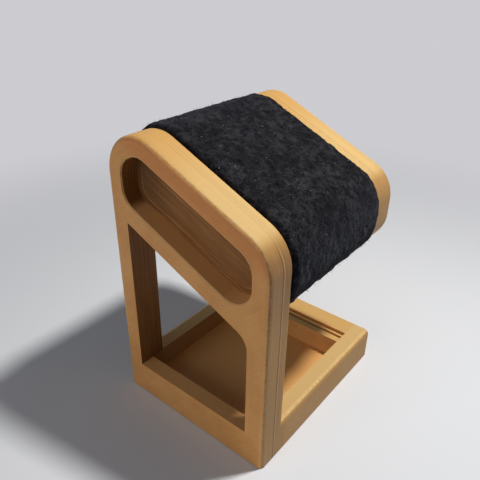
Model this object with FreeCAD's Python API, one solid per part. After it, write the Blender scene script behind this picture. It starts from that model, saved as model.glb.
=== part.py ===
import FreeCAD, Part
import math
import os

# Watch stand printed on its side: a shallow tray, one upright frame and a short slanting arm
# with an end plate, and a strip of felt wrapped round the arm between the frame and the plate.
# X runs from the side frame (low) to the free end of the arm, Y from front to back, Z up.
# The origin is under the middle of the stand, on the surface that it stands on.

Vector = FreeCAD.Vector

# Overall sizes, in millimetres and degrees
length = 70.0
depth = 60.0
front_height = 76.5      # where the sloping top line meets the front face
slope = 24.0             # rise of the arm towards the back

# Side frame
frame_thick = 10.0
post_width = 6.8
outer_radius = 13.0
window_radius = 6.0

# Recess in the frame's outer face
recess_wall = 6.0
recess_depth = 6.0

# Arm and end plate
arm_height = 32.0        # measured along Z between the frame's top line and the window's
arm_step = 2.0           # how far the arm lies inside the frame's outline
plate_thick = 10.0
plate_radius = 12.0
plate_set_back = 2.0     # how far the plate stops short of the tray's end

# Felt strip
felt_thick = 3.0
glue_gap = 0.2
felt_end_gap = 0.3
felt_seam = 0.8

# Tray
tray_height = 12.0
tray_floor = 4.0
long_rim = 6.4
frame_rim = 5.2
end_rim = 15.0

# Sagged bridging lines in the top of the tray's end rim
sag_wide = 1.7
sag_narrow = 1.2
sag_depth = 1.5
sag_strip = 1.0          # strip left between the two lines
sag_ledge = 2.4          # strip between the lines and the tray's hollow

# Edges
edge_round = 0.8
face_round = 1.5         # round the frame's outer face
tray_round = 2.0
recess_edge = 0.4

# Where the arm's lower line meets the front face
arm_underside = front_height - arm_height

# Where the end plate begins along X
plate_start = length - plate_set_back - plate_thick


def vertical(size):
    """A distance square to the slope, measured along Z."""
    return size / math.cos(math.radians(slope))


def sloping_line(start, y):
    """Height at y of a line that crosses the front face at start."""
    return start + y * math.tan(math.radians(slope))


def rounded_face(corners, x):
    """Flat face at x from (y, z, radius) corners in turn, each corner rounded by an arc."""
    ends = []
    arcs = []
    count = len(corners)
    for i in range(count):
        y, z, radius = corners[i]
        corner = Vector(x, y, z)
        before = (Vector(x, *corners[i - 1][:2]) - corner).normalize()
        after = (Vector(x, *corners[(i + 1) % count][:2]) - corner).normalize()
        half = before.getAngle(after) / 2
        tangent = radius / math.tan(half)
        first = corner + before * tangent
        last = corner + after * tangent
        ends.append((first, last))
        if radius > 0:
            inward = (before + after).normalize()
            middle = corner + inward * (radius / math.sin(half) - radius)
            arcs.append(Part.Arc(first, middle, last).toShape())
        else:
            arcs.append(None)
    edges = []
    for i in range(count):
        if arcs[i]:
            edges.append(arcs[i])
        start = ends[i][1]
        stop = ends[(i + 1) % count][0]
        edges.append(Part.LineSegment(start, stop).toShape())
    return Part.Face(Part.Wire(edges))


def largest_radius(height):
    """Radius at which the two arcs of an upright side of this height meet."""
    half_sharp = math.radians(90 - slope) / 2
    half_blunt = math.radians(90 + slope) / 2
    return height / (1 / math.tan(half_sharp) + 1 / math.tan(half_blunt))


def arm_section(inset, radius, x):
    """The arm's slanting section, drawn inset from the frame's outline."""
    front = inset
    back = depth - inset
    low = arm_underside + vertical(inset)
    high = front_height - vertical(inset)
    radius = min(radius, 0.95 * largest_radius(high - low))
    return rounded_face(
        [
            (front, sloping_line(low, front), radius),
            (back, sloping_line(low, back), radius),
            (back, sloping_line(high, back), radius),
            (front, sloping_line(high, front), radius),
        ],
        x,
    )


def edges_at(shape, x):
    """Edges that lie wholly at x and above the standing surface."""
    found = []
    for edge in shape.Edges:
        box = edge.BoundBox
        flat = abs(box.XMin - x) < 1e-6 and abs(box.XMax - x) < 1e-6
        if flat and box.ZMax > 1e-6:
            found.append(edge)
    return found


def side_frame():
    """Upright frame with its window and the recess in its outer face."""
    outline = rounded_face(
        [
            (0, 0, 0),
            (depth, 0, 0),
            (depth, sloping_line(front_height, depth), outer_radius),
            (0, front_height, outer_radius),
        ],
        0,
    )
    plate = outline.extrude(Vector(frame_thick, 0, 0))
    plate = plate.makeFillet(face_round, edges_at(plate, 0))
    plate = plate.makeFillet(edge_round, edges_at(plate, frame_thick))

    front = post_width
    back = depth - post_width
    window = rounded_face(
        [
            (front, tray_height, 0),
            (back, tray_height, 0),
            (back, sloping_line(arm_underside, back), 0),
            (front, sloping_line(arm_underside, front), window_radius),
        ],
        0,
    )
    plate = plate.cut(window.extrude(Vector(frame_thick, 0, 0)))
    return plate.cut(outer_recess())


def outer_recess():
    """Slanting hollow in the outer face, with its edge slightly opened."""
    section = arm_section(recess_wall, outer_radius - recess_wall, -recess_edge)
    hollow = section.extrude(Vector(recess_edge + recess_depth, 0, 0))
    lip = arm_section(recess_wall - recess_edge, outer_radius - recess_wall + recess_edge, 0)
    inner = arm_section(recess_wall, outer_radius - recess_wall, recess_edge)
    flare = Part.makeLoft([lip.OuterWire, inner.OuterWire], True)
    return hollow.fuse(flare)


def tray():
    """Shallow box under the arm, its outer edges rounded, before it is hollowed."""
    start = frame_thick / 2
    box = Part.makeBox(length - start, depth, tray_height, Vector(start, 0, 0))
    rounded = []
    for edge in box.Edges:
        bounds = edge.BoundBox
        along_x = bounds.XLength > 1e-6
        on_top = bounds.ZMin > tray_height - 1e-6
        at_end = bounds.XMin > length - 1e-6
        upright = bounds.ZLength > 1e-6
        if on_top and (along_x or at_end) or upright and at_end:
            rounded.append(edge)
    return box.makeFillet(tray_round, rounded)


def tray_hollow():
    """The tray's open hollow, which runs in under the frame's window."""
    size_x = length - end_rim - frame_rim
    size_y = depth - 2 * long_rim
    size_z = tray_height - tray_floor
    return Part.makeBox(size_x, size_y, size_z, Vector(frame_rim, long_rim, tray_floor))


def sag_lines():
    """Two sunken lines along the end rim, where its top was printed over the hollow."""
    size_y = depth - 2 * long_rim
    base = tray_height - sag_depth
    narrow_x = length - end_rim + sag_ledge
    wide_x = narrow_x + sag_narrow + sag_strip
    narrow = Part.makeBox(sag_narrow, size_y, sag_depth, Vector(narrow_x, long_rim, base))
    wide = Part.makeBox(sag_wide, size_y, sag_depth, Vector(wide_x, long_rim, base))
    return [narrow, wide]


def arm():
    """Arm from the frame to the inner face of the end plate."""
    section = arm_section(arm_step, outer_radius - arm_step, frame_thick)
    return section.extrude(Vector(plate_start - frame_thick, 0, 0))


def end_plate():
    """Plate at the arm's free end, with the outline of the frame's top."""
    plate = arm_section(0, plate_radius, plate_start).extrude(Vector(plate_thick, 0, 0))
    both_faces = edges_at(plate, plate_start) + edges_at(plate, plate_start + plate_thick)
    return plate.makeFillet(edge_round, both_faces)


def printed_body():
    """The whole print in one piece."""
    body = tray().fuse([side_frame(), arm(), end_plate()])
    return body.cut([tray_hollow()] + sag_lines()).removeSplitter()


def felt_wrap():
    """Strip of felt closed round the arm, its two ends butted under the middle of the arm."""
    start = frame_thick + felt_end_gap
    stop = plate_start - felt_end_gap
    inner_inset = arm_step - glue_gap
    outer_inset = inner_inset - felt_thick
    outer = arm_section(outer_inset, outer_radius - outer_inset, start)
    inner = arm_section(inner_inset, outer_radius - inner_inset, start)
    tube = outer.cut(inner).extrude(Vector(stop - start, 0, 0))

    middle = depth / 2
    low = sloping_line(arm_underside, middle)
    reach = 2 * felt_thick
    slit = Part.makeBox(stop - start, felt_seam, 2 * reach, Vector(start, -felt_seam / 2, -reach))
    slit.rotate(Vector(0, 0, 0), Vector(1, 0, 0), slope)
    slit.translate(Vector(0, middle, low))
    return tube.cut(slit)


def export(name, shape):
    """Moves a piece into the stand's frame and writes it."""
    moved = shape.copy()
    moved.translate(Vector(-length / 2, -depth / 2, 0))
    solids = moved.Solids
    print(name, len(solids), "solid", round(moved.Volume / 1000, 2), "cm3", moved.isValid())
    moved.exportStep("parts/" + name + ".step")


os.makedirs("parts", exist_ok=True)
export("stand_body", printed_body())
export("felt_wrap", felt_wrap())
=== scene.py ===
import math

import bpy
import numpy as np
from mathutils import Matrix, Vector, noise


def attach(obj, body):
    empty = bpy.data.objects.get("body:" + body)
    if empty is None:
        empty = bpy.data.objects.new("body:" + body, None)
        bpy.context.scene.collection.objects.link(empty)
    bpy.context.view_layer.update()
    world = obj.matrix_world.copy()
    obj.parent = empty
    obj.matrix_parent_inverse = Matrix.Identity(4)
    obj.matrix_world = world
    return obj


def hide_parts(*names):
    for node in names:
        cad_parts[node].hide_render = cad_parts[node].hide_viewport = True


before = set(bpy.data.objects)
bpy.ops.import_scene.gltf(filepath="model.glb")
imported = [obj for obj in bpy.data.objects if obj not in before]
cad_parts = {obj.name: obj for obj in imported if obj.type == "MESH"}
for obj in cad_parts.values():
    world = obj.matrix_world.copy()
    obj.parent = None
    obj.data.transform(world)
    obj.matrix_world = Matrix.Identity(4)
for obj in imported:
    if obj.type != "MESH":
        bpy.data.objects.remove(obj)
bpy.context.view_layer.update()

# Looks of a printed watch stand: the printed body keeps its solid and gets a layered plastic,
# and the strip of felt round the arm is modelled with its soft corners, seam and nap.
# X runs from the side frame (low) to the free end of the arm, Y from front to back, Z up.
# Lengths that are named in millimetres are turned into metres where a mesh is made.

MM = 0.001

# Sizes that the felt and the layer marks follow, in millimetres, and the arm's slope
LENGTH = 70.0
DEPTH = 60.0
FRONT_HEIGHT = 76.5
SLOPE = math.radians(24.0)
OUTER_RADIUS = 13.0
FRAME_THICK = 10.0
PLATE_THICK = 10.0
PLATE_SET_BACK = 2.0
POST_WIDTH = 6.8
WINDOW_RADIUS = 6.0
RECESS_WALL = 6.0
RECESS_DEPTH = 6.0
ARM_HEIGHT = 32.0
ARM_STEP = 2.0
TRAY_HEIGHT = 12.0
TRAY_FLOOR = 4.0
END_RIM = 15.0
FELT_THICK = 3.0
FELT_EDGE = 1.3          # reach of the rounding along the strip's edges
GLUE_GAP = 0.25
FELT_END_GAP = 0.4
FELT_SEAM = 0.8

# Middle level of the felt's lumpy face over the arm, and the share of a full quarter round by
# which its edges drop
FELT_FACE = GLUE_GAP + FELT_THICK - 0.1
EDGE_DROP = 0.8

# The felt's mesh: distance between its rows round the arm, and its columns along X
ROW_SPACING = 0.5
COLUMNS = 100

# Loose fibres: how many, the share that is pale, and lengths and widths in millimetres
FIBRES = 6000
PALE_SHARE = 0.09
FIBRE_LENGTH = (0.4, 1.2)
FIBRE_WIDTH = (0.022, 0.036)
FIBRE_ROOT = 0.3         # how deep in the felt a fibre starts
FIBRE_BEND = 0.4         # share of its length by which a fibre curls away

# Where the recess's floor, the frame's inner face and the end plate's lie along X
RECESS_FLOOR = RECESS_DEPTH - LENGTH / 2
FRAME_END = FRAME_THICK - LENGTH / 2
PLATE_START = LENGTH / 2 - PLATE_SET_BACK - PLATE_THICK

# The felt strip's two edges along X
FELT_LOW = FRAME_END + FELT_END_GAP
FELT_HIGH = PLATE_START - FELT_END_GAP

# Where the fill on the flat faces turns round, by the window's rounded corner: Y and Z
FILL_TURN = (-19.0, 47.0)

# Further than any distance on the stand
FAR = 1000.0

# Camera fitted to the stand's edges, in metres, with its lens in millimetres on a 36 mm sensor
CAMERA_PLACE = Vector((-0.12227, -0.09003, 0.14083))
CAMERA_FORWARD = Vector((0.68097, 0.54470, -0.48948))
CAMERA_RIGHT = Vector((0.63054, -0.77604, 0.01363))
CAMERA_LENS = 39.065
SENSOR_WIDTH = 36.0

# Lamps in metres, and the level to which each lights a white surface that faces it
LAMP_TARGET = (0, 0, 0.05)
KEY_PLACE = (0.087, -0.106, 0.367)
KEY_SIZE = 0.04
KEY_LEVEL = 1.08
KEY_COLOUR = (1.0, 0.98, 0.94)
FILL_PLACE = (-0.58, 0.08, 0.24)
FILL_SIZE = 0.4
FILL_LEVEL = 0.24
FILL_COLOUR = (0.97, 0.98, 1.03)
SURROUND_LEVEL = 0.08
SURROUND_COLOUR = (0.95, 0.96, 1.0, 1)

# Pale floor, and the backdrop that it fades into between two distances, in metres
FLOOR_COLOUR = (0.77, 0.79, 0.83, 1)
FLOOR_HALF = 3.0
FLOOR_DROP = 0.0002
FADE_START = 0.08
FADE_END = 0.30
BACKDROP = (0.60, 0.60, 0.635, 1)

# Colours of the plastic's walls, which the layers end on; the turning and upright colours are
# painted shade, darker as the walls turn away from the light
SLOPE_LOW = (0.60, 0.395, 0.152, 1)
SLOPE_HIGH = (0.53, 0.295, 0.086, 1)
TURNING_SHADE = (0.40, 0.205, 0.055, 1)
UPRIGHT_SHADE = (0.436, 0.245, 0.087, 1)
UPRIGHT_FRAME_SHADE = (0.383, 0.214, 0.076, 1)
# Painted shade on the frame's upright walls, high up below the arm's arc
SHADE_BELOW_ARC = (0.27, 0.145, 0.06, 1)
# Painted shade on the faces inside the window under the arm, and on the recess's high end wall
INNER_SHADE_DARK = (0.145, 0.05, 0.009, 1)
INNER_SHADE_LIGHT = (0.20, 0.075, 0.015, 1)
# Painted light on the recess's side walls
RECESS_SIDE_LIT = (0.79, 0.45, 0.18, 1)

# Colours of its level tops; the redder frame bar and tray floor are painted shade and bounce light
LONG_RIM_TOP = (0.63, 0.41, 0.165, 1)
END_RIM_TOP = (0.60, 0.345, 0.105, 1)
FRAME_BAR_TOP_SHADE = (0.73, 0.37, 0.132, 1)
TRAY_BOTTOM_SHADE = (0.72, 0.37, 0.122, 1)

# Colours of its flat faces, which lie along the layers
FACE_DARK = (0.61, 0.285, 0.085, 1)
FACE_LIGHT = (0.67, 0.335, 0.108, 1)
FACE_UPPER_BAR = (0.60, 0.222, 0.064, 1)

# What lies over them: a tint on the recess's floor, dirt, set-back layers, worn edges with a
# painted highlight and a layer that came out pale
RECESS_TINT = (1.0, 0.9, 0.84, 1)
DIRT = (0.30, 0.14, 0.045, 1)
SET_BACK = (0.17, 0.065, 0.018, 1)
WORN_AND_GLINT = (0.85, 0.58, 0.26, 1)
PALE_LAYER = (0.62, 0.40, 0.18, 1)

# Colours of the felt and its loose fibres; the hair colour is painted sheen
FELT_HOLLOW = (0.004, 0.004, 0.005, 1)
FELT_TUFT = (0.027, 0.026, 0.030, 1)
FELT_HAIR_SHEEN = (0.058, 0.058, 0.068, 1)
FELT_CLOUD = (0.003, 0.003, 0.004, 1)
FELT_LINT = (0.10, 0.10, 0.115, 1)
FELT_SPECK = (0.13, 0.135, 0.15, 1)
DARK_FIBRE = (0.016, 0.017, 0.022, 1)
PALE_FIBRE = (0.16, 0.165, 0.19, 1)

# Depths of the surfaces' relief, in metres
LAYER_RELIEF = 0.00005
GRAIN_RELIEF = 0.00002
FELT_RELIEF = 0.0006


# The arm's section and the meshes that follow it

def slope_line(start, y):
    """Height at y of a line with the arm's slope that crosses the front face at start."""
    return start + (y + DEPTH / 2) * math.tan(SLOPE)


def arm_corners(inset):
    """Corners (y, z) of the arm's slanting outline, drawn inset from the frame's."""
    front = inset - DEPTH / 2
    back = DEPTH / 2 - inset
    low = FRONT_HEIGHT - ARM_HEIGHT + inset / math.cos(SLOPE)
    high = FRONT_HEIGHT - inset / math.cos(SLOPE)
    return [
        (front, slope_line(low, front)),
        (back, slope_line(low, back)),
        (back, slope_line(high, back)),
        (front, slope_line(high, front)),
    ]


def rounded_path(corners, radius, start, spacing):
    """Evenly spaced points and outward normals round an outline with rounded corners.

    The path starts at a point on the side from the first corner to the second.
    """
    pieces = []
    count = len(corners)
    cuts = []
    for i in range(count):
        corner = np.array(corners[i])
        before = np.array(corners[i - 1]) - corner
        after = np.array(corners[(i + 1) % count]) - corner
        before /= np.linalg.norm(before)
        after /= np.linalg.norm(after)
        half = math.acos(float(before @ after)) / 2
        reach = radius / math.tan(half)
        middle = before + after
        centre = corner + middle / np.linalg.norm(middle) * radius / math.sin(half)
        cuts.append((corner + before * reach, corner + after * reach, centre))
    start = np.array(start)
    pieces.append(("line", start, cuts[1][0], None))
    for i in range(1, count + 1):
        first, last, centre = cuts[i % count]
        pieces.append(("arc", first, last, centre))
        stop = start if i == count else cuts[(i + 1) % count][0]
        pieces.append(("line", last, stop, None))

    points = []
    normals = []
    for kind, first, last, centre in pieces:
        if kind == "line":
            step = last - first
            length = np.linalg.norm(step)
            number = max(1, round(length / spacing))
            normal = np.array((step[1], -step[0])) / length
            for k in range(number):
                points.append(first + step * k / number)
                normals.append(normal)
        else:
            turn_from = math.atan2(*(first - centre)[::-1])
            turn_to = math.atan2(*(last - centre)[::-1])
            turn = (turn_to - turn_from) % (2 * math.pi)
            number = max(1, round(turn * radius / spacing))
            for k in range(number):
                angle = turn_from + turn * k / number
                normal = np.array((math.cos(angle), math.sin(angle)))
                points.append(centre + normal * radius)
                normals.append(normal)
    points.append(start)
    normals.append(normals[0])
    return np.array(points), np.array(normals)


def new_piece(name, vertices, faces, material):
    """Mesh object from points in metres, with smooth shading."""
    mesh = bpy.data.meshes.new(name)
    mesh.from_pydata([tuple(v) for v in vertices], [], faces)
    mesh.update()
    mesh.polygons.foreach_set("use_smooth", [True] * len(mesh.polygons))
    mesh.materials.append(material)
    piece = bpy.data.objects.new(name, mesh)
    bpy.context.scene.collection.objects.link(piece)
    return piece


def arm_surface():
    """Points round the arm from under its middle, and outward normals, in millimetres."""
    underside = FRONT_HEIGHT - ARM_HEIGHT + ARM_STEP / math.cos(SLOPE)
    start = (0.0, slope_line(underside, 0.0))
    return rounded_path(arm_corners(ARM_STEP), OUTER_RADIUS - ARM_STEP, start, ROW_SPACING)


def felt_columns():
    """Places along X across the strip, a little closer together near its two edges."""
    t = np.linspace(-1, 1, COLUMNS)
    t = 0.85 * t + 0.15 * np.sin(t * math.pi / 2)
    return (FELT_LOW + FELT_HIGH) / 2 + (FELT_HIGH - FELT_LOW) / 2 * t


def felt_lump(x, point):
    """How far the felt's face swells or sinks at a place, in millimetres."""
    place = Vector((x, point[0], point[1]))
    swell = 0.25 * noise.noise(place * 0.14) + 0.28 * noise.noise(place * 0.42)
    grain = 0.22 * noise.noise(place * 0.95) + 0.10 * noise.noise(place * 2.1)
    return swell + grain


def felt_mesh(material):
    """Strip of felt round the arm, with rounded edges, a lumpy face and a butt seam."""
    base, normals = arm_surface()
    lengths = np.concatenate([[0], np.cumsum(np.linalg.norm(np.diff(base, axis=0), axis=1))])
    total = lengths[-1]
    rows = len(base)
    xs = felt_columns()

    vertices = []
    for i, (point, normal) in enumerate(zip(base, normals)):
        # The strip's ends stay back from each other by the seam's width.
        shift = 0.0
        if i == 0:
            shift = FELT_SEAM / 2
        if i == rows - 1:
            shift = -FELT_SEAM / 2
        point = point + np.array((-normal[1], normal[0])) * shift
        from_end = min(lengths[i], total - lengths[i])
        seam_round = max(0.0, 1 - from_end / FELT_EDGE)
        outer = []
        inner = []
        for x in xs:
            from_side = min(x - FELT_LOW, FELT_HIGH - x)
            side_round = max(0.0, 1 - from_side / FELT_EDGE)
            corner = min(1.0, math.hypot(side_round, seam_round))
            drop = FELT_EDGE * (1 - math.sqrt(1 - corner ** 2)) * EDGE_DROP
            y, z = point + normal * (FELT_FACE - drop + felt_lump(x, point))
            outer.append((x, y, z))
            y, z = point + normal * GLUE_GAP
            inner.append((x, y, z))
        vertices.extend(outer)
        vertices.extend(reversed(inner))

    ring = 2 * COLUMNS
    faces = []
    for i in range(rows - 1):
        for j in range(ring):
            k = (j + 1) % ring
            faces.append((i * ring + j, i * ring + k, (i + 1) * ring + k, (i + 1) * ring + j))
    last = (rows - 1) * ring
    for j in range(COLUMNS - 1):
        a, b = j, j + 1
        c, d = ring - 2 - j, ring - 1 - j
        faces.append((a, d, c, b))
        faces.append((last + a, last + b, last + c, last + d))
    return new_piece("felt_strip", np.array(vertices) * MM, faces, material)


def felt_nap(material, pale_material):
    """Loose fibres that stand up from the felt, each a thin curved spike."""
    base, normals = arm_surface()
    random = np.random.default_rng(7)
    vertices = []
    faces = []
    pale = []
    for _ in range(FIBRES):
        i = int(random.integers(2, len(base) - 2))
        x = random.uniform(FELT_LOW + 0.3, FELT_HIGH - 0.3)
        from_side = min(x - FELT_LOW, FELT_HIGH - x)
        drop = 0.5 * max(0.0, 1 - from_side / FELT_EDGE) ** 2
        out = Vector((0.0, *normals[i]))
        start = Vector((x, *base[i])) + out * (GLUE_GAP + FELT_THICK - FIBRE_ROOT - drop)
        lean = Vector(random.normal(0.0, 1.1, 3))
        curl = Vector(random.normal(0.0, 0.9, 3))
        length = random.uniform(*FIBRE_LENGTH)
        width = random.uniform(*FIBRE_WIDTH)
        heading = (out + lean).normalized()
        if heading.dot(out) < 0.25:
            heading = (heading + out).normalized()
        side = heading.orthogonal().normalized()
        other = heading.cross(side)
        first = len(vertices)
        for t in (0.0, 0.45, 0.8):
            middle = start + heading * length * t + curl * length * FIBRE_BEND * t * t
            for k in range(3):
                turn = 2 * math.pi * k / 3
                spread = side * math.cos(turn) + other * math.sin(turn)
                vertices.append(middle + spread * width * (1 - 0.5 * t))
        vertices.append(start + heading * length + curl * length * FIBRE_BEND)
        faces.append((first + 2, first + 1, first))
        for ring in (first, first + 3):
            for k in range(3):
                m = (k + 1) % 3
                faces.append((ring + k, ring + m, ring + 3 + m, ring + 3 + k))
        for k in range(3):
            faces.append((first + 6 + k, first + 6 + (k + 1) % 3, first + 9))
        pale.extend([random.random() < PALE_SHARE] * 10)
    nap = new_piece("felt_nap", [v * MM for v in vertices], faces, material)
    nap.data.materials.append(pale_material)
    nap.data.polygons.foreach_set("material_index", [int(p) for p in pale])
    return nap


# Materials

class Graph:
    """Short calls for the nodes of one material."""

    def __init__(self, name):
        self.material = bpy.data.materials.new(name)
        self.material.use_nodes = True
        self.tree = self.material.node_tree
        self.tree.nodes.clear()
        self.output = self.tree.nodes.new("ShaderNodeOutputMaterial")

    def node(self, kind, **settings):
        made = self.tree.nodes.new(kind)
        for name, value in settings.items():
            setattr(made, name, value)
        return made

    def feed(self, socket, value):
        if isinstance(value, bpy.types.NodeSocket):
            self.tree.links.new(value, socket)
        elif value is not None:
            socket.default_value = value

    def math(self, operation, a, b=None, c=None):
        made = self.node("ShaderNodeMath", operation=operation)
        for socket, value in zip(made.inputs, (a, b, c)):
            self.feed(socket, value)
        return made.outputs[0]

    def product(self, *values):
        total = values[0]
        for value in values[1:]:
            total = self.math("MULTIPLY", total, value)
        return total

    def between(self, a, b, share):
        """Value that goes from a to b as the share goes from 0 to 1."""
        return self.math("MULTIPLY_ADD", self.math("SUBTRACT", b, a), share, a)

    def ranged(self, value, low, high, to_low=0.0, to_high=1.0, kind="SMOOTHSTEP"):
        made = self.node("ShaderNodeMapRange", interpolation_type=kind)
        for socket, given in zip(made.inputs, (value, low, high, to_low, to_high)):
            self.feed(socket, given)
        return made.outputs[0]

    def millimetres(self):
        """Place on the object, in millimetres, and the object's own normal."""
        coordinates = self.node("ShaderNodeTexCoord")
        made = self.node("ShaderNodeVectorMath", operation="MULTIPLY")
        self.feed(made.inputs[0], coordinates.outputs["Object"])
        made.inputs[1].default_value = (1000, 1000, 1000)
        return made.outputs[0], coordinates.outputs["Normal"]

    def close_to(self, distance, reach):
        """1 within reach of an outline, 0 further from it."""
        return self.ranged(self.math("ABSOLUTE", distance), reach, 1.5 * reach, 1.0, 0.0)

    def split(self, vector):
        made = self.node("ShaderNodeSeparateXYZ")
        self.feed(made.inputs[0], vector)
        return made.outputs

    def grey(self, value):
        made = self.node("ShaderNodeCombineColor")
        for socket in made.inputs:
            self.feed(socket, value)
        return made.outputs[0]

    def noise(self, vector, scale, detail=2.0, rough=0.5, distortion=0.0):
        made = self.node("ShaderNodeTexNoise")
        self.feed(made.inputs["Vector"], vector)
        made.inputs["Scale"].default_value = scale
        made.inputs["Detail"].default_value = detail
        made.inputs["Roughness"].default_value = rough
        made.inputs["Distortion"].default_value = distortion
        return made.outputs["Fac"]

    def blend(self, factor, a, b, kind="MIX"):
        made = self.node("ShaderNodeMix", data_type="RGBA", blend_type=kind)
        for socket, value in zip([made.inputs[0], made.inputs[6], made.inputs[7]], (factor, a, b)):
            self.feed(socket, value)
        return made.outputs[2]

    def bump(self, height, distance, normal=None):
        made = self.node("ShaderNodeBump")
        made.inputs["Strength"].default_value = 1.0
        made.inputs["Distance"].default_value = distance
        self.feed(made.inputs["Height"], height)
        self.feed(made.inputs["Normal"], normal)
        return made.outputs["Normal"]

    def finish(self, shader):
        self.tree.links.new(shader.outputs[0], self.output.inputs["Surface"])
        return self.material


def outline_sides(corners):
    """Outward normal and offset of each side of an outline, from its corners (y, z) in turn."""
    sides = []
    for i, (y, z) in enumerate(corners):
        next_y, next_z = corners[(i + 1) % len(corners)]
        size = math.hypot(next_y - y, next_z - z)
        normal = ((next_z - z) / size, (y - next_y) / size)
        sides.append((normal, normal[0] * y + normal[1] * z))
    return sides


def outline_distance(g, y, z, corners, radii):
    """Distance in from an outline whose corners are rounded, negative outside, in millimetres."""
    sides = outline_sides(corners)
    inward = []
    for (normal_y, normal_z), offset in sides:
        part = g.math("MULTIPLY_ADD", y, -normal_y, offset)
        inward.append(g.math("MULTIPLY_ADD", z, -normal_z, part))
    nearest = inward[0]
    for distance in inward[1:]:
        nearest = g.math("MINIMUM", nearest, distance)
    for i, radius in enumerate(radii):
        if not radius:
            continue
        (before, _), (after, _) = sides[i - 1], sides[i]
        cosine = before[0] * after[0] + before[1] * after[1]
        a = g.math("SUBTRACT", radius, inward[i - 1])
        b = g.math("SUBTRACT", radius, inward[i])
        share_a = g.math("MULTIPLY_ADD", b, -cosine, a)
        share_b = g.math("MULTIPLY_ADD", a, -cosine, b)
        squares = g.math("MULTIPLY_ADD", share_a, a, g.product(share_b, b))
        reach = g.math("SQRT", g.math("DIVIDE", squares, 1 - cosine ** 2))
        in_corner = g.math("GREATER_THAN", g.math("MINIMUM", share_a, share_b), 0.0)
        outside = g.math("MULTIPLY_ADD", in_corner, -FAR, FAR)
        round_part = g.math("MULTIPLY_ADD", g.product(reach, in_corner), -1.0, radius)
        nearest = g.math("MINIMUM", nearest, g.math("ADD", round_part, outside))
    return nearest


def stretched_noise(g, parts, detail=2.0, rough=0.5, distortion=0.0):
    """Noise over a point made of three values, each with its own scale per millimetre."""
    joined = g.node("ShaderNodeCombineXYZ")
    for socket, (value, scale) in zip(joined.inputs, parts):
        g.feed(socket, g.product(value, scale))
    return g.noise(joined.outputs[0], 1.0, detail, rough, distortion)


def layer_mark(g, x, place, half_width, strength):
    """One layer's line along X: its strength in the middle of the line, 0 beside it."""
    away = g.math("ABSOLUTE", g.math("SUBTRACT", x, place))
    line = g.ranged(away, half_width * 0.3, half_width, 1.0, 0.0)
    return g.product(line, strength)


class PrintPlace:
    """What the plastic's patterns are drawn from: the place, the facing and the outlines."""

    def __init__(self, g):
        self.point, normal = g.millimetres()
        self.x, self.y, self.z = g.split(self.point)
        normal_x, self.normal_y, normal_z = g.split(normal)
        self.across = g.math("ABSOLUTE", normal_x)
        self.upward = normal_z
        self.face = g.ranged(self.across, 0.6, 0.92)
        self.wall = g.math("SUBTRACT", 1.0, self.face)
        self.upright = g.ranged(g.math("ABSOLUTE", normal_z), 0.35, 0.8, 1.0, 0.0)

        # Distances in from the outlines of the frame, of its window and of the recess
        half = DEPTH / 2
        top_front = (-half, FRONT_HEIGHT)
        top_back = (half, slope_line(FRONT_HEIGHT, half))
        corners = [(-half, 0), (half, 0), top_back, top_front]
        radii = [0, 0, OUTER_RADIUS, OUTER_RADIUS]
        self.outer = outline_distance(g, self.y, self.z, corners, radii)

        post = half - POST_WIDTH
        underside = FRONT_HEIGHT - ARM_HEIGHT
        corners = [
            (-post, TRAY_HEIGHT),
            (post, TRAY_HEIGHT),
            (post, slope_line(underside, post)),
            (-post, slope_line(underside, -post)),
        ]
        self.window = outline_distance(g, self.y, self.z, corners, [0, 0, 0, WINDOW_RADIUS])

        radii = [OUTER_RADIUS - RECESS_WALL] * 4
        self.recess = outline_distance(g, self.y, self.z, arm_corners(RECESS_WALL), radii)

        # 1 from the outer face to just past the recess's floor, on the frame, and on the outline
        self.near = g.math("LESS_THAN", self.x, RECESS_FLOOR + 0.6)
        self.on_frame = g.math("LESS_THAN", self.x, FRAME_END + 0.2)
        self.outside = g.ranged(self.outer, 0.5, 1.0, 1.0, 0.0)

        # Places along the arm's slope and square to it
        rise = g.product(self.y, math.cos(SLOPE))
        self.along = g.math("MULTIPLY_ADD", self.z, math.sin(SLOPE), rise)
        fall = g.product(self.y, -math.sin(SLOPE))
        self.square = g.math("MULTIPLY_ADD", self.z, math.cos(SLOPE), fall)

        # Streaks that run round the print, and marks that don't follow the layers
        self.fine = stretched_noise(g, [(self.x, 3.0), (self.y, 0.05), (self.z, 0.05)], 2.0, 0.6)
        self.mottle = g.noise(self.point, 0.10, 2.0)
        self.dirt = g.noise(self.point, 0.7, 4.0, 0.6)


def flat_face_lines(g, p):
    """Loops that follow the outlines on the flat faces, and a slanting fill between them."""
    not_near = g.math("SUBTRACT", 1.0, p.near)
    recess_reach = g.math("MULTIPLY_ADD", not_near, FAR, g.math("ABSOLUTE", p.recess))
    loops = g.math("MINIMUM", g.math("ABSOLUTE", p.outer), g.math("ABSOLUTE", p.window))
    loops = g.math("MINIMUM", loops, recess_reach)
    loop_lines = stretched_noise(g, [(loops, 2.2), (p.y, 0.03), (p.z, 0.03)], 1.0)
    slanted = g.math("ADD", p.y, p.z)
    other = g.math("SUBTRACT", p.y, p.z)
    fill_lines = stretched_noise(g, [(slanted, 1.6), (other, 0.05), (p.x, 0.5)], 1.0)
    deep = g.ranged(loops, 1.6, 2.6, 0.0, 0.8)
    lines = g.between(loop_lines, fill_lines, deep)

    # The fill turns round where it meets the window's rounded corner.
    from_y = g.math("SUBTRACT", p.y, FILL_TURN[0])
    from_z = g.math("SUBTRACT", p.z, FILL_TURN[1])
    squares = g.math("MULTIPLY_ADD", from_y, from_y, g.product(from_z, from_z))
    radius = g.math("SQRT", squares)
    turns = stretched_noise(g, [(radius, 2.0), (from_y, 0.06), (from_z, 0.06)], 1.0)
    near_turn = g.ranged(radius, 3.5, 6.5, 1.0, 0.0)
    return g.between(lines, turns, near_turn)


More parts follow.
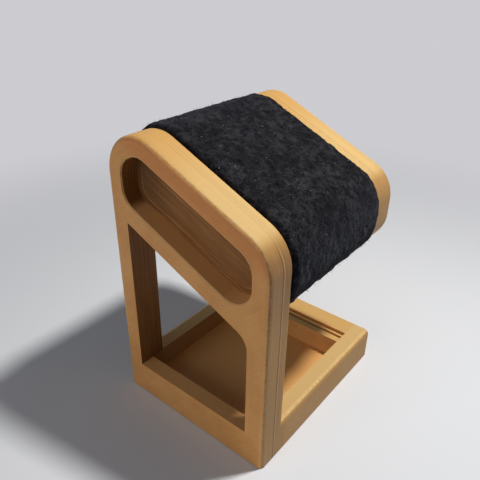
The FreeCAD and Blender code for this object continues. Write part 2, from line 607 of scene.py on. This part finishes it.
def single_layer_marks(g, p):
    """Layers whose edges stand back, seen as brown lines on the outer walls."""
    waver = g.noise(p.point, 0.8, 4.0, 0.7)
    ragged_x = g.math("MULTIPLY_ADD", g.math("SUBTRACT", waver, 0.5), 0.5, p.x)
    patchy = g.ranged(g.noise(p.point, 0.5, 3.0, 0.6), 0.40, 0.56, 0.35, 1.0)
    standing = g.math("MULTIPLY_ADD", p.upright, 0.45, 0.3)
    fading = g.ranged(p.z, 10.0, 50.0, 0.35, 1.0)

    # Each has its place along X and its half width in millimetres, then its strength.
    lines = [
        layer_mark(g, ragged_x, -34.4, 0.28, g.product(patchy, fading, standing)),
        layer_mark(g, p.x, RECESS_FLOOR - 0.25, 0.36, p.upright),
        layer_mark(g, p.x, RECESS_FLOOR + 0.95, 0.18, g.product(p.upright, 0.4)),
        layer_mark(g, ragged_x, -24.0, 0.3, g.product(p.upright, 0.6)),
        layer_mark(g, ragged_x, 26.3, 0.25, g.product(patchy, 0.5)),
        layer_mark(g, p.x, 3.0, 0.2, 0.3),
    ]
    marks = lines[0]
    for line in lines[1:]:
        marks = g.math("MAXIMUM", marks, line)
    return g.product(marks, p.wall, p.outside)


def recess_lines(g, p):
    """Where the recess's floor is, how light its strands are, with painted shade towards its high
    end, and their height.
    """
    strands = stretched_noise(g, [(p.square, 1.5), (p.along, 0.035), (p.x, 0.2)], 4.0, 0.8, 0.2)
    threads = stretched_noise(g, [(p.square, 2.6), (p.along, 0.06), (p.x, 0.2)], 1.0, 0.5, 0.15)
    nicks = g.noise(p.point, 1.6, 3.0, 0.7)
    inside = g.ranged(p.recess, -0.3, 0.1)
    at_floor = g.ranged(p.x, RECESS_FLOOR - 0.5, RECESS_FLOOR - 0.1)
    on_floor = g.product(p.near, inside, at_floor, p.face)
    shade = g.ranged(strands, 0.34, 0.66, 0.28, 0.47, "LINEAR")
    shade = g.math("MULTIPLY_ADD", g.ranged(threads, 0.61, 0.69), 0.28, shade)
    shade = g.math("MULTIPLY_ADD", g.ranged(nicks, 0.68, 0.76), 0.25, shade)
    # Painted shade: the floor darkens towards the recess's high end, where its walls shade it
    shade = g.product(shade, g.ranged(p.along, 34.0, 58.0, 1.0, 0.42))

    # Loops lie lighter beside the wall, wavering a little.
    wavering = g.math("MULTIPLY_ADD", g.noise(p.point, 0.15, 2.0), 1.4, p.recess)
    low_side = g.ranged(p.square, 63.0, 71.0, 1.0, 0.2)
    for reach, level in ((1.0, 0.16), (2.7, 0.28)):
        away = g.math("ABSOLUTE", g.math("SUBTRACT", wavering, reach))
        loop = g.product(g.ranged(away, 0.06, 0.28, 1.0, 0.0), low_side)
        shade = g.math("MULTIPLY_ADD", loop, level, shade)
    return on_floor, shade, strands


def wall_colours(g, p):
    """Walls: palest low on the slopes, browner where they turn upright, dark in the window; these
    browner and dark colours are painted shade, and the recess's pale sides painted light.
    """
    colour = g.blend(g.ranged(p.along, 22.0, 54.0), SLOPE_LOW, SLOPE_HIGH)
    broad = stretched_noise(g, [(p.x, 1.0), (p.y, 0.02), (p.z, 0.02)], 1.0)
    colour = g.blend(1.0, colour, g.grey(g.ranged(broad, 0.3, 0.7, 0.95, 1.05)), "MULTIPLY")
    # Painted shade: walls darken as they turn from facing up, and more again where upright
    turning_shade = g.ranged(p.upward, 0.88, 0.6, 0.0, 1.0)
    colour = g.blend(g.product(turning_shade, 0.8), colour, TURNING_SHADE)

    upright = g.blend(p.on_frame, UPRIGHT_SHADE, UPRIGHT_FRAME_SHADE)
    # Painted shade: the frame's upright walls darken towards the arm's arc above them
    shade_below_arc = g.product(g.ranged(p.z, 46.0, 66.0, 0.0, 0.75), p.on_frame)
    upright = g.blend(shade_below_arc, upright, SHADE_BELOW_ARC)
    colour = g.blend(p.upright, colour, upright)

    # Painted shade: the upright faces inside the window are dark, as in the arm's shade
    above_tray = g.math("GREATER_THAN", p.z, TRAY_HEIGHT)
    window_shade = g.product(g.close_to(p.window, 0.3), p.upright, above_tray)
    inner = g.blend(g.ranged(p.fine, 0.35, 0.65), INNER_SHADE_DARK, INNER_SHADE_LIGHT)
    colour = g.blend(g.product(window_shade, 0.9), colour, inner)

    # Painted light on the recess's side walls, painted shade on its end wall at the high end
    in_recess = g.product(p.near, g.close_to(p.recess, 0.3))
    recess_end_shade = g.ranged(p.normal_y, -0.3, -0.8)
    return g.blend(in_recess, colour, g.blend(recess_end_shade, RECESS_SIDE_LIT, inner))


def with_level_tops(g, p, colour):
    """Level tops: pale on the tray's rims, redder on the frame's bar and the tray's floor as
    painted shade and bounce light.
    """
    rim_start = LENGTH / 2 - END_RIM
    end_rim = g.ranged(p.x, rim_start, rim_start + 0.5, 0.0, 0.7)
    between_rims = g.ranged(g.math("ABSOLUTE", p.y), 22.5, 25.0, 1.0, 0.0)
    tops = g.blend(g.product(end_rim, between_rims), LONG_RIM_TOP, END_RIM_TOP)
    tops = g.blend(p.on_frame, tops, FRAME_BAR_TOP_SHADE)
    tops = g.blend(g.math("LESS_THAN", p.z, TRAY_FLOOR + 0.5), tops, TRAY_BOTTOM_SHADE)
    level = g.ranged(p.upward, 0.94, 0.98)
    on_tray = g.math("LESS_THAN", p.z, TRAY_HEIGHT + 0.5)
    return g.blend(g.product(level, on_tray), colour, tops)


def face_colours(g, p):
    """Flat faces: orange, most of all on the bar above the recess."""
    colour = g.blend(g.ranged(p.mottle, 0.3, 0.7), FACE_DARK, FACE_LIGHT)
    return g.blend(g.ranged(p.square, 73.0, 79.0, 0.0, 0.75), colour, FACE_UPPER_BAR)


def worn_and_glinting_edges(g, p):
    """Where edges rub pale, with a painted highlight: most along the tray's rim, as dashes where
    layers' ends catch the light.
    """
    edge = g.ranged(p.across, 0.15, 0.4)
    edge = g.product(edge, g.ranged(p.across, 0.75, 0.95, 1.0, 0.0))
    worn = g.product(edge, g.ranged(p.dirt, 0.4, 0.6, 0.0, 0.15))
    outward = g.math("ABSOLUTE", p.normal_y)
    # Painted highlight: pale dashes on the rounded edges of the tray's long rims
    rim = g.product(g.ranged(outward, 0.1, 0.35), g.ranged(outward, 0.5, 0.85, 1.0, 0.0))
    rim = g.product(rim, p.wall, g.math("LESS_THAN", p.z, TRAY_HEIGHT + 0.1))
    glint_dashes = stretched_noise(g, [(p.x, 1.3), (p.y, 0.25), (p.z, 0.25)], 3.0, 0.6)
    glint_dashes = g.ranged(glint_dashes, 0.40, 0.64, 0.35, 1.0)
    return g.math("MAXIMUM", worn, g.product(rim, glint_dashes, 0.6))


def pale_layer(g, p):
    """One pale layer on the outer walls, beside the recess's floor."""
    strength = g.product(p.upright, p.outside, 0.45)
    return g.product(layer_mark(g, p.x, RECESS_FLOOR + 0.3, 0.3, strength), p.wall)


def printed_plastic():
    """Wood-coloured plastic printed in layers that are stacked along X."""
    g = Graph("printed_plastic")
    p = PrintPlace(g)
    face_lines = flat_face_lines(g, p)
    marks = single_layer_marks(g, p)
    on_floor, strand_shade, strands = recess_lines(g, p)
    walls = with_level_tops(g, p, wall_colours(g, p))
    colour = g.blend(p.face, walls, face_colours(g, p))

    # How strongly the streaks show on the walls: most on the frame's upright sides
    streaking = g.product(p.upright, g.math("MULTIPLY_ADD", p.on_frame, 0.7, 0.25))
    streaking = g.math("ADD", streaking, 0.07)
    wall_streaks = g.ranged(p.fine, 0.25, 0.75, -0.17, 0.15, "LINEAR")
    wall_streaks = g.math("MULTIPLY_ADD", wall_streaks, streaking, 1.0)
    face_streaks = g.ranged(face_lines, 0.3, 0.7, 0.945, 1.05, "LINEAR")
    shade = g.between(wall_streaks, face_streaks, p.face)
    shade = g.between(shade, strand_shade, on_floor)
    colour = g.blend(1.0, colour, g.grey(shade), "MULTIPLY")

    colour = g.blend(on_floor, colour, RECESS_TINT, "MULTIPLY")
    colour = g.blend(g.ranged(p.dirt, 0.64, 0.74, 0.0, 0.4), colour, DIRT)
    colour = g.blend(g.product(marks, 0.85), colour, SET_BACK)
    colour = g.blend(worn_and_glinting_edges(g, p), colour, WORN_AND_GLINT)
    colour = g.blend(pale_layer(g, p), colour, PALE_LAYER)

    # Height: layer ridges and marks on the walls, loops on the faces, strands in the recess
    ridges = stretched_noise(g, [(p.x, 7.0), (p.y, 0.12), (p.z, 0.12)], 0.0)
    wall_height = g.math("MULTIPLY_ADD", ridges, 0.35, p.fine)
    wall_height = g.product(wall_height, g.math("MULTIPLY_ADD", streaking, 0.7, 0.3))
    wall_height = g.math("MULTIPLY_ADD", marks, -0.9, wall_height)
    height = g.between(wall_height, g.product(face_lines, 0.5), p.face)
    strand_rise = g.math("MULTIPLY_ADD", strands, 1.3, g.product(height, -1.0))
    height = g.math("MULTIPLY_ADD", strand_rise, on_floor, height)
    normal = g.bump(height, LAYER_RELIEF)
    normal = g.bump(g.noise(p.point, 2.5, 3.0), GRAIN_RELIEF, normal)

    roughness = g.ranged(p.mottle, 0.3, 0.7, 0.42, 0.52, "LINEAR")
    roughness = g.math("MULTIPLY_ADD", p.wall, 0.08, roughness)
    roughness = g.math("MULTIPLY_ADD", on_floor, 0.2, roughness)
    shader = g.node("ShaderNodeBsdfPrincipled")
    g.feed(shader.inputs["Base Color"], colour)
    g.feed(shader.inputs["Roughness"], roughness)
    g.feed(shader.inputs["Normal"], normal)
    shader.inputs["Specular IOR Level"].default_value = 0.25
    return g.finish(shader)


def wool_felt():
    """Black wool felt: tufted, matt, with a faint cool bloom and a few pale specks."""
    g = Graph("wool_felt")
    place, _ = g.millimetres()
    tufts = g.noise(place, 0.5, 3.0, 0.6, 0.6)
    clouds = g.noise(place, 0.14, 2.0)
    hairs = g.noise(place, 1.9, 3.0, 0.7, 0.5)
    lint = g.noise(place, 3.4, 2.0, 0.6)
    colour = g.blend(g.ranged(tufts, 0.38, 0.66), FELT_HOLLOW, FELT_TUFT)
    # Painted sheen: lighter, cooler hairs where the fibres catch the light
    colour = g.blend(g.ranged(hairs, 0.56, 0.68, 0.0, 0.7), colour, FELT_HAIR_SHEEN)
    colour = g.blend(g.ranged(clouds, 0.30, 0.66, 0.7, 0.0), colour, FELT_CLOUD)
    colour = g.blend(g.ranged(lint, 0.62, 0.74, 0.0, 0.8), colour, FELT_LINT)

    # Specks: one small dot in some of the cells
    specks = g.node("ShaderNodeTexVoronoi")
    g.feed(specks.inputs["Vector"], place)
    specks.inputs["Scale"].default_value = 0.8
    chance, size, _ = g.split(specks.outputs["Color"])
    reach = g.math("MULTIPLY_ADD", size, 0.14, 0.06)
    dot = g.math("LESS_THAN", specks.outputs["Distance"], reach)
    chosen = g.ranged(chance, 0.6, 1.0, 0.0, 0.9)
    colour = g.blend(g.product(chosen, dot), colour, FELT_SPECK)

    height = g.math("MULTIPLY_ADD", hairs, 0.4, tufts)
    shader = g.node("ShaderNodeBsdfPrincipled")
    g.feed(shader.inputs["Base Color"], colour)
    g.feed(shader.inputs["Normal"], g.bump(height, FELT_RELIEF))
    g.feed(shader.inputs["Roughness"], g.ranged(hairs, 0.3, 0.7, 0.9, 1.0, "LINEAR"))
    shader.inputs["Specular IOR Level"].default_value = 0.04
    shader.inputs["Sheen Weight"].default_value = 0.07
    shader.inputs["Sheen Roughness"].default_value = 0.5
    shader.inputs["Sheen Tint"].default_value = (0.75, 0.8, 1.0, 1)
    return g.finish(shader)


def single_fibre(name, colour):
    """Plain matt wool for loose fibres, varied a little from place to place."""
    g = Graph(name)
    place, _ = g.millimetres()
    darker = tuple(0.5 * c for c in colour[:3]) + (1,)
    shade = g.blend(g.ranged(g.noise(place, 0.8), 0.35, 0.65), darker, colour)
    shader = g.node("ShaderNodeBsdfPrincipled")
    g.feed(shader.inputs["Base Color"], shade)
    shader.inputs["Roughness"].default_value = 0.8
    shader.inputs["Specular IOR Level"].default_value = 0.2
    return g.finish(shader)


# Lamps, floor and camera

def area_light(name, place, size, level, colour):
    """Round lamp that lights a white surface facing it at the target to the given level."""
    data = bpy.data.lights.new(name, "AREA")
    data.shape = "DISK"
    data.size = size
    data.color = colour
    gap = Vector(place) - Vector(LAMP_TARGET)
    data.energy = level * (math.pi * gap.length) ** 2
    lamp = bpy.data.objects.new(name, data)
    lamp.location = place
    lamp.rotation_mode = "QUATERNION"
    lamp.rotation_quaternion = gap.to_track_quat("Z", "Y")
    bpy.context.scene.collection.objects.link(lamp)


def light_scene():
    """Key lamp high at the front right, a broad fill from the left, and a pale surround."""
    area_light("key", KEY_PLACE, KEY_SIZE, KEY_LEVEL, KEY_COLOUR)
    area_light("fill", FILL_PLACE, FILL_SIZE, FILL_LEVEL, FILL_COLOUR)

    # The surround lights the stand faintly, and shows as the backdrop itself.
    world = bpy.data.worlds.new("studio")
    bpy.context.scene.world = world
    world.use_nodes = True
    tree = world.node_tree
    tree.nodes.clear()
    light = tree.nodes.new("ShaderNodeBackground")
    light.inputs["Color"].default_value = SURROUND_COLOUR
    light.inputs["Strength"].default_value = SURROUND_LEVEL
    shown = tree.nodes.new("ShaderNodeBackground")
    shown.inputs["Color"].default_value = BACKDROP
    shown.inputs["Strength"].default_value = 1.0
    path = tree.nodes.new("ShaderNodeLightPath")
    seen = tree.nodes.new("ShaderNodeMath")
    seen.operation = "MAXIMUM"
    tree.links.new(path.outputs["Is Camera Ray"], seen.inputs[0])
    tree.links.new(path.outputs["Is Glossy Ray"], seen.inputs[1])
    mix = tree.nodes.new("ShaderNodeMixShader")
    tree.links.new(seen.outputs[0], mix.inputs[0])
    tree.links.new(light.outputs[0], mix.inputs[1])
    tree.links.new(shown.outputs[0], mix.inputs[2])
    output = tree.nodes.new("ShaderNodeOutputWorld")
    tree.links.new(mix.outputs[0], output.inputs[0])


def floor_piece():
    """Plain pale floor that fades into the backdrop away from the stand."""
    g = Graph("pale_floor")
    paper = g.node("ShaderNodeBsdfDiffuse")
    paper.inputs["Color"].default_value = FLOOR_COLOUR
    distant = g.node("ShaderNodeEmission")
    distant.inputs["Color"].default_value = BACKDROP
    length = g.node("ShaderNodeVectorMath", operation="LENGTH")
    g.feed(length.inputs[0], g.node("ShaderNodeTexCoord").outputs["Object"])
    path = g.node("ShaderNodeLightPath")
    seen = g.math("MAXIMUM", path.outputs["Is Camera Ray"], path.outputs["Is Glossy Ray"])
    far_off = g.product(g.ranged(length.outputs["Value"], FADE_START, FADE_END), seen)
    shader = g.node("ShaderNodeMixShader")
    g.feed(shader.inputs[0], far_off)
    g.tree.links.new(paper.outputs[0], shader.inputs[1])
    g.tree.links.new(distant.outputs[0], shader.inputs[2])
    material = g.finish(shader)
    around = ((-1, -1), (1, -1), (1, 1), (-1, 1))
    corners = [(x * FLOOR_HALF, y * FLOOR_HALF, -FLOOR_DROP) for x, y in around]
    floor = new_piece("floor", corners, [(0, 1, 2, 3)], material)


def camera():
    """Camera at the photograph's place."""
    data = bpy.data.cameras.new("camera")
    data.sensor_width = SENSOR_WIDTH
    data.lens = CAMERA_LENS
    data.clip_start = 0.01
    data.clip_end = 20.0
    forward = CAMERA_FORWARD.normalized()
    right = CAMERA_RIGHT.normalized()
    up = right.cross(forward)
    place = Matrix((right, up, -forward)).transposed().to_4x4()
    place.translation = CAMERA_PLACE
    viewer = bpy.data.objects.new("camera", data)
    viewer.matrix_world = place
    bpy.context.scene.collection.objects.link(viewer)
    bpy.context.scene.camera = viewer


def main():
    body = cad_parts["stand_body"]
    body.data.materials.clear()
    body.data.materials.append(printed_plastic())
    felt = felt_mesh(wool_felt())
    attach(felt, "root")
    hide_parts("felt_wrap")
    dark = single_fibre("dark_fibre", DARK_FIBRE)
    nap = felt_nap(dark, single_fibre("pale_fibre", PALE_FIBRE))
    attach(nap, "root")
    floor_piece()
    light_scene()
    camera()
    bpy.context.scene.view_settings.view_transform = "Standard"


main()
